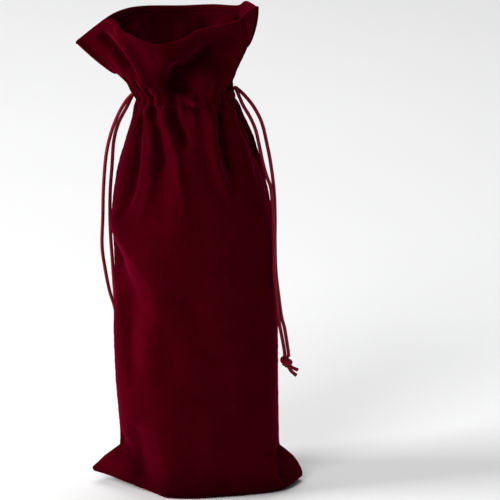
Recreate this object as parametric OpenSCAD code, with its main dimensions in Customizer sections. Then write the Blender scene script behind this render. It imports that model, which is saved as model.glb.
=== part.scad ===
// Velvet drawstring gift bag for one 75 cl wine bottle, in the standing shape that the bottle gives it.
// Two velvet panels are sewn at the sides and across the base. The cloth is turned in at the mouth as a facing,
// and two rows of stitches make a channel there for two satin drawstrings, one tied at each side.
// X runs along the bag's width, -Y is its front, Z is up. The origin is on the floor, under the middle of the bag.

/* [Cloth] */
// Thickness of one layer of velvet
cloth = 1; // [0.8:0.1:1.2]
// Width of the seam allowances turned in at the side seams and the bottom seam
allowance = 7; // [5:0.5:9]

/* [Filled bag] */
// Width of the body with a bottle inside
body_w = 110; // [104:1:116]
// Depth of the body with a bottle inside
body_d = 78; // [76:1:84]
// Width of the gathered neck
neck_w = 61; // [58:1:66]
// Depth of the gathered neck
neck_d = 42; // [40:1:48]
// Outward swell of the gathers at the neck
gather = 2.2; // [0:0.1:2.6]

/* [Drawstring channel] */
// Height of the lower row of stitches
channel_low = 264.5; // [262:0.5:266]
// Height of the upper row of stitches
channel_high = 278.5; // [277:0.5:281]
// Diameter of the sewing thread
thread = 0.6; // [0.4:0.1:0.8]

/* [Drawstrings] */
// Diameter of a satin cord
cord = 2.4; // [2:0.1:2.4]
// Diameter of a knot
knot_d = 7; // [6:0.5:8]
// Length of the cut ends below a knot
tail = 7; // [5:0.5:11]

/* [Hidden] */

front = -1;
back = 1;
columns = 28;              // steps around each panel, from its left seam to its right seam
folds = 7;                 // gathers on each panel
seam_clearance = 0.6;      // space between the curved panel and the allowance folded against it
hug = 0.05;                // space between the panel and the facing sewn to it
channel_gap = 0.4 + cord;  // space between the panel and the facing, where the drawstrings run
slit = 8.5;                // degrees that each panel stands back from a side seam where the cords come out
slit_end = 2;              // height left closed between the slit and each row of stitches
skirt_top = 24;            // height where the cloth that spreads at the base meets the straight body
edge_round = 3;            // rounding of the base's edge where it meets the floor
left_lift = 6;             // how far the left corner of the base stands off the floor
right_lift = 1.5;          // how far the right corner of the base stands off the floor
knot_half = 3.7;           // half the height of a knot

wide = body_w / 110;
deep = body_d / 78;
neck_wide = neck_w / 61;
neck_deep = neck_d / 42;
channel_mid = (channel_low + channel_high) / 2;
channel_upper = channel_mid + 2.5;
left_cord_z = channel_mid - 2;
right_cord_z = channel_mid + 1;

// The body's outline: height, reach to the left, reach to the right, half depth, roundness of the cross-section
body_outline = [
    [skirt_top, 48.5 * wide, 58 * wide, 39 * deep, 2.1],
    [40, 48.5 * wide, 57.5 * wide, 39 * deep, 2.3],
    [70, 51 * wide, 57 * wide, 39 * deep, 2.3],
    [110, 52 * wide, 57 * wide, 39 * deep, 2.3],
    [150, 51 * wide, 55.5 * wide, 39 * deep, 2.3],
    [180, 52.5 * wide, 53.5 * wide, 38 * deep, 2.2],
    [198, 52 * wide, 51.5 * wide, 37 * deep, 2.2],
    [220, 48.5 * wide, 46 * wide, 34 * deep, 2.1],
    [243, 42 * wide, 39.5 * wide, 28 * deep, 2],
    [256, 37.5 * neck_wide, 33 * neck_wide, 23.5 * neck_deep, 2],
    [channel_low, 34.5 * neck_wide, 27.5 * neck_wide, 21 * neck_deep, 2],
    [channel_mid, 36 * neck_wide, 26.5 * neck_wide, 21 * neck_deep, 2],
    [channel_upper, 37.2 * neck_wide, 26.3 * neck_wide, 21.2 * neck_deep, 2],
    [channel_high, 44 * neck_wide, 26 * neck_wide, 21.5 * neck_deep, 2]
];

// The open mouth, from the drooping left corner round the front, and round the back, to the right corner
front_rim = [
    [-74, 0, 305], [-54, -12, 322], [-41, -24, 316], [-25, -33, 311], [-8, -34, 314],
    [6, -32, 320], [29, -22, 323], [38, -10, 327], [43, 0, 328]
];
back_rim = [
    [-74, 0, 305], [-56, 9, 318], [-44, 14, 323], [-30, 23, 323], [-6, 28, 322],
    [14, 27, 323], [31, 20, 324], [37, 11, 329], [43, 0, 328]
];

// The spread edge of the base, from the left corner round the front, and round the back, to the right corner
front_foot = [
    [-67.5, 0], [-50, -15.5], [-41, -21.5], [-33, -27], [-24, -33.5], [-16.5, -38], [0, -39],
    [21, -35.5], [43, -30], [60, -23.5], [68, -13.7], [74, 0]
];
back_foot = [
    [-67.5, 0], [-52, 14], [-38, 26], [-20, 36], [2, 39], [24, 37], [44, 30], [60, 18], [74, 0]
];

// The free strands, from the slit at the channel's end down to the knot
left_front_route = [
    [-36, -1.3, left_cord_z], [-38, -1.3, left_cord_z], [-43, -1.2, 264], [-48.5, -1, 254], [-53.5, 0, 240],
    [-56.5, 1, 225], [-58.3, 3, 203], [-59, 6, 183], [-59.8, 9, 162], [-58, 12, 145], [-55.4, 15.5, 129],
    [-52.4, 19.5, 117], [-49.6, 25, 102], [-47.25, 27, 91], [-47.25, 27, 86.8]
];
left_back_route = [
    [-36, 1.3, left_cord_z], [-37.5, 1.3, left_cord_z], [-42.5, 1.2, 259.5], [-48, 1.4, 248.5], [-51.2, 2, 236],
    [-52.5, 3, 219], [-53.8, 4.5, 203], [-54.3, 6.5, 186], [-54, 8.5, 168], [-53, 10.5, 150],
    [-52.2, 12.5, 134], [-51.2, 15, 121], [-48.2, 21.8, 106], [-44.75, 27, 92], [-44.75, 27, 86.8]
];
right_front_route = [
    [28, -1.3, right_cord_z], [29.3, -1.3, right_cord_z], [33.8, -2, 262], [38.2, -3, 254.5], [42, -4, 246],
    [44.2, -5, 237], [47.1, -6, 223], [49.7, -7, 214], [52.2, -8.5, 207], [53.4, -10, 194], [54, -11.5, 180],
    [54.3, -13.5, 165], [54.4, -15.2, 151], [56, -15.2, 133], [57.4, -14.8, 119], [59.8, -13.6, 105],
    [60.9, -12.7, 98.5], [61.5, -12.1, 94], [61.6, -12, 91.4]
];
right_back_route = [
    [28, 1.3, right_cord_z], [29.6, 1.3, right_cord_z], [35.6, 0.5, 267], [41.6, 0, 259], [46.4, -1, 249],
    [49.7, -2, 235], [52.2, -4, 222], [54.3, -6, 205], [55, -8, 187], [55, -10.5, 170], [55.6, -12.8, 151],
    [57.6, -12.8, 133], [59.3, -12.6, 120], [61.3, -12.6, 112], [62.6, -12.4, 104], [63.5, -12.2, 98],
    [64.05, -12, 94], [64.1, -12, 91.4]
];
left_knot_at = [-46, 27, 83];
right_knot_at = [62.9, -12, 87.6];

// The height of each row of points up the wall, and the shares of the way from the bottom seam to its edge
floor_shares = [0, 0.4, 0.75, 1];
skirt_shares = [0, 0.2, 0.4, 0.6, 0.8, 0.92];
wall_heights = [skirt_top, 40, 70, 110, 150, 180, 198, 220, 232, 243, 250, 256, 260, channel_low,
                channel_low + slit_end, channel_mid, channel_upper, channel_high - slit_end, channel_high];
collar_shares = [0.15, 0.32, 0.5, 0.68, 0.85, 1];
seam_heights = [skirt_top, 40, 70, 110, 150, 180, 198, 220, 232, 243, 250, 256];
facing_heights = [channel_low - 1.5, channel_low, channel_low + slit_end, channel_mid, channel_upper,
                  channel_high - slit_end, channel_high];

function column_of(heights, k) = [for (row = body_outline) [row[0], row[k]]];
function reach(z, k) = lookup(z, column_of(body_outline, k));
function smooth(t) = let (s = min(max(t, 0), 1)) s * s * (3 - 2 * s);
function fold(i) = 0.5 - 0.5 * cos(360 * folds * i / columns);
function swell(z, i) = gather * fold(i) * smooth((z - 185) / 60);
function slit_at(z) = z > channel_low + 1 && z < channel_high - 1 ? slit : 0;
function lift(x) = x < 0 ? left_lift * smooth((-x - 16) / 46) : right_lift * smooth((x - 50) / 24);

// A point of a cross-section: the angle runs from 0 at the left seam to 180 at the right seam
function ring_point(side, z, angle, inset, out) =
    let (
        power = 2 / reach(z, 4),
        c = cos(angle),
        half = c > 0 ? reach(z, 1) : reach(z, 2),
        x = -sign(c) * (half - inset + out) * pow(abs(c), power),
        y = side * (reach(z, 3) - inset + out) * pow(max(sin(angle), 0), power)
    )
    [x, y, z];

function wall_point(side, z, i, inset, open) =
    ring_point(side, z, open + (180 - 2 * open) * i / columns, inset, swell(z, i));

// A smooth curve through a list of points, with u counted in points
function along(points, u) =
    let (
        last = len(points) - 1,
        i = min(floor(u), last - 1),
        t = u - i,
        a = points[max(i - 1, 0)],
        b = points[i],
        c = points[i + 1],
        d = points[min(i + 2, last)]
    )
    (2 * b + (c - a) * t + (2 * a - 5 * b + 4 * c - d) * t * t + (3 * b - a - 3 * c + d) * t * t * t) / 2;

function inset_toward_axis(p, inset) = [for (k = [0 : 1]) p[k] * (1 - inset / norm([p[0], p[1]]))];

function rim_point(side, i, inset) =
    let (
        rim = side == front ? front_rim : back_rim,
        p = along(rim, i / columns * (len(rim) - 1)),
        q = inset_toward_axis(p, inset)
    )
    [q[0], q[1], p[2]];

function foot_point(side, i, inset) =
    let (
        foot = side == front ? front_foot : back_foot,
        p = along(foot, i / columns * (len(foot) - 1)),
        q = inset_toward_axis([p[0] * wide, p[1] * deep], inset)
    )
    [q[0], q[1], lift(p[0])];

// The underside, from the bottom seam at share 0 to the edge of its contact with the floor
function floor_point(side, share, i, inset) =
    let (p = foot_point(side, i, edge_round + inset))
    [p[0], i == 0 || i == columns ? 0 : p[1] * share, p[2] + inset];

// The spread cloth above the base's edge; it gathers in faster at the right corner than at the left
function skirt_point(side, share, i, inset) =
    let (
        low = foot_point(side, i, inset),
        high = wall_point(side, skirt_top, i, inset, 0),
        gather_in = pow(share, 1.4 + 0.8 * i / columns),
        z = low[2] + edge_round
    )
    [low[0] + (high[0] - low[0]) * gather_in, low[1] + (high[1] - low[1]) * gather_in,
     z + (skirt_top - z) * share];

// The collar opens quickly above the neck and then leans out to the rim; at the left corner it runs out straighter
function collar_point(side, share, i, inset) =
    let (
        low = wall_point(side, channel_high, i, inset, 0),
        high = rim_point(side, i, inset),
        rounded = smooth(2.5 * i / columns),
        spread = rounded * sin(90 * share) + (1 - rounded) * pow(share, 0.8)
    )
    [low[0] + (high[0] - low[0]) * spread, low[1] + (high[1] - low[1]) * spread,
     low[2] + (high[2] - low[2]) * share];

function panel_face(side, inset) = concat(
    [for (share = floor_shares) [for (i = [0 : columns]) floor_point(side, share, i, inset)]],
    [for (share = skirt_shares) [for (i = [0 : columns]) skirt_point(side, share, i, inset)]],
    [for (z = wall_heights) [for (i = [0 : columns]) wall_point(side, z, i, inset, slit_at(z))]],
    [for (share = collar_shares) [for (i = [0 : columns]) collar_point(side, share, i, inset)]]
);

// In the channel the facing stands away from the panel, and the gathers don't reach it
function facing_point(side, z, i, inset) =
    let (apart = z > channel_low && z < channel_high)
    apart
        ? ring_point(side, z, 180 * i / columns, inset + channel_gap, 0)
        : wall_point(side, z, i, inset + hug, 0);

function facing_face(side, inset) = concat(
    [for (z = facing_heights) [for (i = [0 : columns]) facing_point(side, z, i, inset)]],
    [for (share = collar_shares) [for (i = [0 : columns]) collar_point(side, share, i, inset + hug)]]
);

// Two triangles for each cell of a grid of points
function grid_faces(rows, cols, start, flip) = [
    for (r = [0 : rows - 2])
        for (c = [0 : cols - 2])
            let (a = start + r * cols + c, b = a + 1, d = a + cols, e = d + 1)
            each flip ? [[a, b, d], [b, e, d]] : [[a, d, b], [b, d, e]]
];

function rim_loop(rows, cols) = concat(
    [for (c = [0 : cols - 2]) c],
    [for (r = [0 : rows - 2]) r * cols + cols - 1],
    [for (c = [cols - 1 : -1 : 1]) (rows - 1) * cols + c],
    [for (r = [rows - 1 : -1 : 1]) r * cols]
);

function edge_faces(loop, step, flip) = [
    for (k = [0 : len(loop) - 1])
        let (a = loop[k], b = loop[(k + 1) % len(loop)], c = b + step, d = a + step)
        each flip ? [[a, c, b], [a, d, c]] : [[a, b, c], [a, c, d]]
];

// A layer of cloth between two grids of points
module layer(outer, inner, side) {
    rows = len(outer);
    cols = len(outer[0]);
    count = rows * cols;
    flip = side == front;
    points = concat([for (row = outer) each row], [for (row = inner) each row]);
    polyhedron(
        points,
        concat(
            grid_faces(rows, cols, 0, flip),
            grid_faces(rows, cols, count, !flip),
            edge_faces(rim_loop(rows, cols), count, flip)
        ),
        convexity = 10
    );
}

function unit(v) = v / norm(v);

// A round cord swept along a route, with square ends
module swept(route, d, sides) {
    last = len(route) - 1;
    rings = [
        for (k = [0 : last])
            let (
                ahead = unit(route[min(k + 1, last)] - route[max(k - 1, 0)]),
                guide = abs(ahead[2]) > 0.7 ? [0, 1, 0] : [0, 0, 1],
                u = unit(cross(guide, ahead)),
                v = cross(ahead, u)
            )
            [for (s = [0 : sides - 1]) route[k] + d / 2 * (u * cos(360 * s / sides) + v * sin(360 * s / sides))]
    ];
    skin = [
        for (k = [0 : last - 1])
            for (s = [0 : sides - 1])
                let (a = k * sides + s, b = k * sides + (s + 1) % sides, c = a + sides, e = b + sides)
                each [[a, c, b], [b, c, e]]
    ];
    cap_low = [[for (s = [0 : sides - 1]) s]];
    cap_high = [[for (s = [sides - 1 : -1 : 0]) last * sides + s]];
    polyhedron([for (ring = rings) each ring], concat(skin, cap_low, cap_high), convexity = 10);
}

// Points across a seam allowance that lies flat against the back panel, from the seam inwards
function allowance_face(left_side, inset) = [
    for (z = seam_heights) [
        for (k = [0 : 3])
            let (
                w = allowance * k / 3,
                angle = asin(pow(w / reach(z, 3), reach(z, 4) / 2))
            )
            ring_point(back, z, left_side ? angle : 180 - angle, inset, 0)
    ]
];

module side_seam(left_side) {
    layer(
        allowance_face(left_side, cloth + seam_clearance),
        allowance_face(left_side, 3 * cloth + seam_clearance),
        left_side ? back : front
    );
}

function base_strip(height) = [
    for (k = [0 : 2]) [
        for (i = [2 : columns - 2])
            let (p = foot_point(back, i, edge_round + cloth))
            [p[0], allowance * k / 2, p[2] + height]
    ]
];

// A cord inside the channel: in through the slit, right round the neck, and out beside where it came in
module cord_loop(z, left_side) {
    inset = cloth + channel_gap / 2;
    outside = left_side ? -36 : 28;
    inward = left_side ? 1 : -1;
    turn = [for (k = [0 : 22]) left_side ? 14 + 166 * k / 22 : 166 - 166 * k / 22];
    deep = left_side ? 2.8 : 4;
    way_in = [[outside, -1.3, z], [outside + 2 * inward, -1.3, z], [outside + deep * inward, -1.9, z]];
    front_half = [for (angle = turn) ring_point(front, z, angle, inset, 0)];
    back_half = [for (k = [21 : -1 : 0]) ring_point(back, z, turn[k], inset, 0)];
    way_out = [for (k = [2 : -1 : 0]) [way_in[k][0], -way_in[k][1], z]];
    swept(concat(way_in, front_half, back_half, way_out), cord, 8);
}

// A row of stitches: one thread round the neck, drawn into the pile
module stitch_row(z) {
    round_front = [
        for (i = [0 : columns])
            wall_point(front, z, i, -thread / 2 - hug, 0)
    ];
    round_back = [
        for (i = [columns - 1 : -1 : 1])
            wall_point(back, z, i, -thread / 2 - hug, 0)
    ];
    swept(concat(round_front, round_back, [round_front[0]]), thread, 6);
}

// Two turns of cord round a core with flat ends, where the strands meet it
module knot(at) {
    core = knot_d - cord - 0.2;
    translate(at) {
        cylinder(d = core, h = 2 * knot_half, center = true, $fn = 32);
        for (turn = [-1, 1])
            translate([0, 0, turn * cord * 0.6])
                rotate_extrude($fn = 32)
                    translate([(knot_d - cord) / 2, 0])
                        circle(d = cord, $fn = 24);
    }
}

module tail_end(at, tilt, turn) {
    translate(at)
        rotate([0, 180 - tilt, turn])
            cylinder(d = cord, h = tail, $fn = 24);
}

module front_panel() {
    color("#3c0208") layer(panel_face(front, 0), panel_face(front, cloth), front);
}

module back_panel() {
    color("#3c0208") layer(panel_face(back, 0), panel_face(back, cloth), back);
}

module front_facing() {
    color("#2e0106") layer(facing_face(front, cloth), facing_face(front, 2 * cloth), front);
}

module back_facing() {
    color("#2e0106") layer(facing_face(back, cloth), facing_face(back, 2 * cloth), back);
}

module left_side_seam() {
    color("#2e0106") side_seam(true);
}

module right_side_seam() {
    color("#2e0106") side_seam(false);
}

module bottom_seam() {
    color("#2e0106") layer(base_strip(cloth + 2 * hug), base_strip(3 * cloth + 2 * hug), back);
}

module upper_channel_stitches() {
    color("#4a0410") stitch_row(channel_high);
}

module lower_channel_stitches() {
    color("#4a0410") stitch_row(channel_low);
}

module left_cord_loop() {
    color("#8c1024") cord_loop(left_cord_z, true);
}

module left_cord_front_strand() {
    color("#8c1024") swept(left_front_route, cord, 8);
}

module left_cord_back_strand() {
    color("#8c1024") swept(left_back_route, cord, 8);
}

module left_cord_knot() {
    color("#8c1024") knot(left_knot_at);
}

module left_cord_front_tail() {
    color("#8c1024") tail_end(left_knot_at + [-1.2, -1.1, -knot_half + 0.6], 20, 180);
}

module left_cord_back_tail() {
    color("#8c1024") tail_end(left_knot_at + [1.2, 1.1, -knot_half + 0.6], 25, 20);
}

module right_cord_loop() {
    color("#8c1024") cord_loop(right_cord_z, false);
}

module right_cord_front_strand() {
    color("#8c1024") swept(right_front_route, cord, 8);
}

module right_cord_back_strand() {
    color("#8c1024") swept(right_back_route, cord, 8);
}

module right_cord_knot() {
    color("#8c1024") knot(right_knot_at);
}

module right_cord_front_tail() {
    color("#8c1024") tail_end(right_knot_at + [2.2, -1.25, -knot_half + 0.6], 36, 0);
}

module right_cord_back_tail() {
    color("#8c1024") tail_end(right_knot_at + [1.6, 1.25, -knot_half + 1.6], 60, 0);
}

front_panel();
back_panel();
front_facing();
back_facing();
left_side_seam();
right_side_seam();
bottom_seam();
upper_channel_stitches();
lower_channel_stitches();
left_cord_loop();
left_cord_front_strand();
left_cord_back_strand();
left_cord_knot();
left_cord_front_tail();
left_cord_back_tail();
right_cord_loop();
right_cord_front_strand();
right_cord_back_strand();
right_cord_knot();
right_cord_front_tail();
right_cord_back_tail();
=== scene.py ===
"""Velvet drawstring gift bag for a wine bottle: the looks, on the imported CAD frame.

Lengths in the tables below are millimetres, as in the CAD source; meshes are made in metres.
"""

import math

import bpy
import numpy as np
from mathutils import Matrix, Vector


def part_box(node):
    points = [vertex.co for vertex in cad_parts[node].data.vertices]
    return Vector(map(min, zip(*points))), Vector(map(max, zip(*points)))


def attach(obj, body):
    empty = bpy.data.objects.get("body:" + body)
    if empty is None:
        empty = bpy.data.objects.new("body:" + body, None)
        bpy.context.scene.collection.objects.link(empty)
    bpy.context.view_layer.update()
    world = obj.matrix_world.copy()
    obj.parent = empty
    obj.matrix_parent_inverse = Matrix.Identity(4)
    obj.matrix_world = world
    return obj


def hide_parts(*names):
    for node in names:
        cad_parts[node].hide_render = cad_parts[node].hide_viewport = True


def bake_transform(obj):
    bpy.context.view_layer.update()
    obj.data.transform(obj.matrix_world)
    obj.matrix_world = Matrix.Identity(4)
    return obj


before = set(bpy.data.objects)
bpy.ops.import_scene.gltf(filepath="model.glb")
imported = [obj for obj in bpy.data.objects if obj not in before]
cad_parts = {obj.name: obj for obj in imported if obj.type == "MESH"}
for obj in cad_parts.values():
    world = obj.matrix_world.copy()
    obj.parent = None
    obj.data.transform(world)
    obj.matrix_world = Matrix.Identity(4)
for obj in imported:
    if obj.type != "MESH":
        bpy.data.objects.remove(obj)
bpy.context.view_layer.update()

MM = 0.001
FRONT, BACK = -1, 1

# Drawstring channel and cords, as the CAD has them
CHANNEL_LOW, CHANNEL_HIGH = 264.5, 278.5
CORD_D = 2.4
LEFT_KNOT, RIGHT_KNOT = (-46, 27, 83), (62.9, -12, 87.6)
ROUTES = {
    "left_cord_front_strand": [
        (-36, -1.3, 269.5), (-38, -1.3, 269.5), (-43, -1.2, 264), (-48.5, -1, 254), (-53.5, 0, 240),
        (-56.5, 1, 225), (-58.3, 3, 203), (-59, 6, 183), (-59.8, 9, 162), (-58, 12, 145),
        (-55.4, 15.5, 129), (-52.4, 19.5, 117), (-49.6, 25, 102), (-47.25, 27, 91), (-47.25, 27, 86.8)],
    "left_cord_back_strand": [
        (-36, 1.3, 269.5), (-37.5, 1.3, 269.5), (-42.5, 1.2, 259.5), (-48, 1.4, 248.5), (-51.2, 2, 236),
        (-52.5, 3, 219), (-53.8, 4.5, 203), (-54.3, 6.5, 186), (-54, 8.5, 168), (-53, 10.5, 150),
        (-52.2, 12.5, 134), (-51.2, 15, 121), (-48.2, 21.8, 106), (-44.75, 27, 92), (-44.75, 27, 86.8)],
    "right_cord_front_strand": [
        (28, -1.3, 272.5), (29.3, -1.3, 272.5), (33.8, -2, 262), (38.2, -3, 254.5), (42, -4, 246),
        (44.2, -5, 237), (47.1, -6, 223), (49.7, -7, 214), (52.2, -8.5, 207), (53.4, -10, 194),
        (54, -11.5, 180), (54.3, -13.5, 165), (54.4, -15.2, 151), (56, -15.2, 133), (57.4, -14.8, 119),
        (59.8, -13.6, 105), (60.9, -12.7, 98.5), (61.5, -12.1, 94), (61.6, -12, 91.4)],
    "right_cord_back_strand": [
        (28, 1.3, 272.5), (29.6, 1.3, 272.5), (35.6, 0.5, 267), (41.6, 0, 259), (46.4, -1, 249),
        (49.7, -2, 235), (52.2, -4, 222), (54.3, -6, 205), (55, -8, 187), (55, -10.5, 170),
        (55.6, -12.8, 151), (57.6, -12.8, 133), (59.3, -12.6, 120), (61.3, -12.6, 112), (62.6, -12.4, 104),
        (63.5, -12.2, 98), (64.05, -12, 94), (64.1, -12, 91.4)],
}

# The body: height, reach to the left, reach to the right, half depth, roundness of the cross-section
BODY = [
    (24, 48.5, 58, 39, 2.1), (40, 48.5, 57.5, 39, 2.3), (70, 51, 57, 39, 2.3), (110, 52, 57, 39, 2.3),
    (150, 51, 55.5, 39, 2.3), (180, 52.5, 53.5, 38, 2.2), (198, 52, 51.5, 37, 2.2), (220, 48.5, 46, 34, 2.1),
    (243, 42, 39.5, 28, 2), (256, 37.5, 33, 23.5, 2), (264.5, 34.5, 27.5, 21, 2), (271.5, 36, 26.5, 21, 2),
    (278.5, 44, 26, 21.5, 2)]
# The mouth's rim (x, y, z) and the edge of the base (x, y), each from the left seam to the right one
RIMS = {
    FRONT: [(-74, 0, 305), (-54, -12, 322), (-41, -24, 316), (-25, -33, 311), (-8, -34, 314),
            (6, -32, 320), (29, -22, 323), (38, -10, 327), (43, 0, 328)],
    BACK: [(-74, 0, 305), (-56, 9, 318), (-44, 14, 323), (-30, 23, 323), (-6, 28, 322),
           (14, 27, 323), (31, 20, 324), (37, 11, 329), (43, 0, 328)]}
FEET = {
    FRONT: [(-67.5, 0), (-50, -15.5), (-41, -21.5), (-33, -27), (-24, -33.5), (-16.5, -38), (0, -39),
            (21, -35.5), (43, -30), (60, -23.5), (68, -13.7), (74, 0)],
    BACK: [(-67.5, 0), (-52, 14), (-38, 26), (-20, 36), (2, 39), (24, 37), (44, 30), (60, 18), (74, 0)]}
SKIRT_TOP = 24  # the height up to which the cloth spreads to the base
EDGE_ROUND = 3
LEFT_LIFT, RIGHT_LIFT = 6, 1.5  # how far the base's two corners stand off the floor

# Cloth
COLUMNS = 240  # steps across a panel, from seam to seam
CLOTH = 0.9
RIM_RADIUS = 1.1
SLIT_DEGREES = 8.0  # how far round the neck each panel stands back from the seam at a slit
CHANNEL_DEPTH = 5.6  # from the panel's outside to the facing, where the channel is widest
CORD_DEPTH = 3.0  # from the panel's outside to the middle of a cord in the channel
FLAT_PANEL = (0.15, 0.36)  # metres
CALM_PASSES = 14  # smoothing that takes the gathers out of a panel, for what lies under it
TURNED_ROWS = 4  # rows of the turned-in cloth that belong to the panel, just past the rim
ALLOWANCE, SEAM_TOP = 7.0, 256  # width of a turned-in seam allowance, and the height where the side ones end
STITCH, STITCH_PITCH, STITCH_GAP = 0.55, 2.6, 0.7
KNOT_TURNS, KNOT_DROP, KNOT_CORE = 1.35, 3.2, 3.4
TIP_BULGE = 0.3  # how far a tube's rounded end stands out, as a share of its radius
PAINTED_SHADE_REACH = 0.03  # metres over which shade is painted into the velvet's colour in hollows
# Painted shade and a painted highlight: soft patches that darken the velvet's colour where the cloth lies in
# shade, and one that lightens it as a highlight: (centre, half sizes, colour factor)
PAINTED_SHADE_AND_HIGHLIGHT_PATCHES = [
    # painted shade in the collar's pocket
    ((-9, -24, 287), (16, 30, 17), 0.30), ((1, -26, 297), (21, 30, 15), 0.36),
    ((14, -24, 308), (20, 30, 12), 0.46), ((-20, -32, 308), (26, 30, 13), 0.62),
    ((20, -24, 290), (14, 30, 14), 0.62),
    # painted shade on the left side, from the shoulder down
    ((-50, -8, 212), (13, 26, 34), 0.55), ((-46, -16, 184), (17, 26, 24), 0.60),
    ((-54, -6, 125), (8, 20, 55), 0.60),
    # painted shade at the corners of the base
    ((-50, -13, 29), (15, 20, 15), 0.42), ((-38, -22, 18), (9, 14, 14), 0.6),
    ((68, -4, 14), (14, 30, 20), 0.35),
    # painted shade on the left front, and a painted highlight (factor 1.42) on the flat facet beside it
    ((-36, -22, 232), (13, 22, 38), 0.66), ((-47, -18, 112), (9, 18, 38), 0.66),
    ((-50, -12, 55), (9, 20, 26), 0.74), ((-31, -28, 118), (12, 22, 34), 1.42)]

# Colours of the velvet and the satin, dark and light, and the velvet's sheen
VELVET = ((0.040, 0.0001, 0.0022), (0.054, 0.0002, 0.0033))
SATIN = ((0.11, 0.0001, 0.005), (0.26, 0.001, 0.013))
THREAD = ((0.020, 0.0002, 0.002), (0.045, 0.0006, 0.005))
SHEEN, SHEEN_ROUGHNESS, SHEEN_TINT = 0.38, 0.36, (0.85, 0.015, 0.12, 1)

# Folds: (height outward, half width, lean, the line of the fold as [(x, z), ...]). On a line drawn downwards,
# a lean above 0 sharpens the fold's left side and a lean below 0 its right side.
FRONT_FOLDS = [
    # below the neck
    (2.0, 3.4, 0.0, [(-28, 266), (-28, 258), (-26, 246), (-26.5, 233), (-27, 220), (-29, 207),
                     (-35, 187), (-42, 168)]),
    (-5.0, 4.6, 0.0, [(-33, 265), (-34, 258), (-35.5, 246), (-36.5, 233), (-38, 220), (-41, 207),
                      (-45, 192), (-49, 178)]),
    (-3.4, 3.0, 0.0, [(-24, 266), (-23.5, 258), (-21, 246), (-19.5, 233), (-18.5, 214)]),
    (2.6, 3.4, 0.3, [(-19, 266), (-18, 258), (-13.5, 246), (-9.5, 233), (-7.5, 220), (-5.5, 207), (-5, 184)]),
    (-2.6, 7.0, 0.0, [(-20, 238), (-19, 225), (-18, 207), (-18, 186)]),
    (-4.6, 3.0, 0.0, [(-12, 266), (-10.5, 258), (-6, 248), (-2, 236)]),
    (3.4, 4.0, -0.4, [(10, 265), (13, 258), (14, 246), (16.5, 233), (20, 220), (26, 207), (30, 192)]),
    (-5.6, 3.0, 0.0, [(19, 266), (19.5, 258), (20.5, 246), (23.5, 233), (27, 220), (31.5, 205)]),
    (2.8, 3.2, 0.0, [(24, 265), (25.5, 258), (30, 246), (35, 233), (39, 220), (43.5, 207)]),
    (-4.0, 3.0, 0.0, [(28, 265), (31, 258), (37, 246), (41, 233), (45.5, 220)]),
    # the body
    (-1.0, 10.0, 0.0, [(8, 175), (6, 140), (10, 100)]),
    (1.0, 9.0, 0.0, [(30, 155), (33, 110), (34, 66)]),
    (-0.9, 8.0, 0.0, [(44, 105), (43, 72), (40, 46)]),
    # the base
    (-3.0, 6.0, 0.0, [(-56, 30), (-50, 31), (-44, 30), (-38, 26), (-34, 20)]),
    (-3.4, 1.8, 0.0, [(57.5, 27), (58.5, 15), (59.5, 6)]),
    (1.8, 2.2, 0.0, [(54.5, 29), (55, 15), (55.5, 6)]),
]
# Flat facets that end in a crisp crest: (height of the crest, depth at the far side, width, crest's line)
FRONT_FACETS = [
    (3.1, 8.0, 21.0, [(-58, 193), (-51, 182), (-44, 172), (-35.5, 161.5), (-27.5, 151), (-23.5, 140),
                      (-23.5, 128), (-26, 117), (-29, 106)]),
    (1.2, 3.4, 12.0, [(-27, 126), (-29.5, 113), (-30, 100), (-29, 86), (-27, 70)]),
    (2.2, 4.4, 16.0, [(-29, 60), (-24, 48), (-21, 38), (-19, 27), (-17, 16), (-12, 6)]),
]
FRONT_COLLAR_FOLDS = [
    (5.4, 3.6, 0.5, [(-50.5, 320), (-46.5, 315.5), (-42.5, 309.5), (-38, 303), (-34, 296.5), (-31, 290.5),
                     (-28, 285), (-24.5, 280), (-21.5, 274), (-20, 268)]),
    (-4.6, 4.0, 0.0, [(-60, 313), (-54, 306), (-48, 299), (-40, 289), (-34, 282)]),
    (1.2, 3.0, 0.0, [(-54, 302), (-49, 294), (-40, 284), (-34, 276)]),
    (-8.0, 9.0, 0.0, [(-10, 270), (-7, 280), (-1, 290), (7, 298), (17, 306), (26, 312)]),
    (-5.0, 4.0, 0.0, [(-13, 262), (-13, 272), (-13, 282), (-11, 292), (-6, 299)]),
    (2.0, 6.0, 0.0, [(-24, 302), (-14, 306), (-4, 310), (6, 314)]),
    (4.6, 3.4, -0.4, [(19, 274), (22.5, 287.5), (28.5, 301.5), (34, 315), (37, 322)]),
    (-2.8, 3.0, 0.0, [(25, 282), (31, 295), (38, 310)]),
    (2.6, 1.9, 0.3, [(-12, 271), (-5, 271.5), (1, 269.5), (6, 267.5), (12, 267)]),
    (-2.8, 1.5, 0.0, [(-12, 267.5), (-5, 267.5), (0, 265.5), (5, 263.5), (12, 263)]),
    (-2.2, 1.6, 0.0, [(-13, 276), (-5, 276), (4, 274.5), (14, 274)]),
    (2.4, 2.4, 0.0, [(22, 274), (25, 268), (24, 260)]),
    (-2.2, 1.4, 0.0, [(18.5, 275), (20.5, 267), (20, 259)]),
    (1.2, 1.8, 0.0, [(-27, 276), (-22, 275), (-18, 272)]),
    (-1.2, 1.6, 0.0, [(-28, 272.5), (-23, 271.5), (-18, 268.5)]),
    (1.0, 1.8, 0.0, [(-28, 269), (-23, 268), (-18, 265)]),
]
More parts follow.
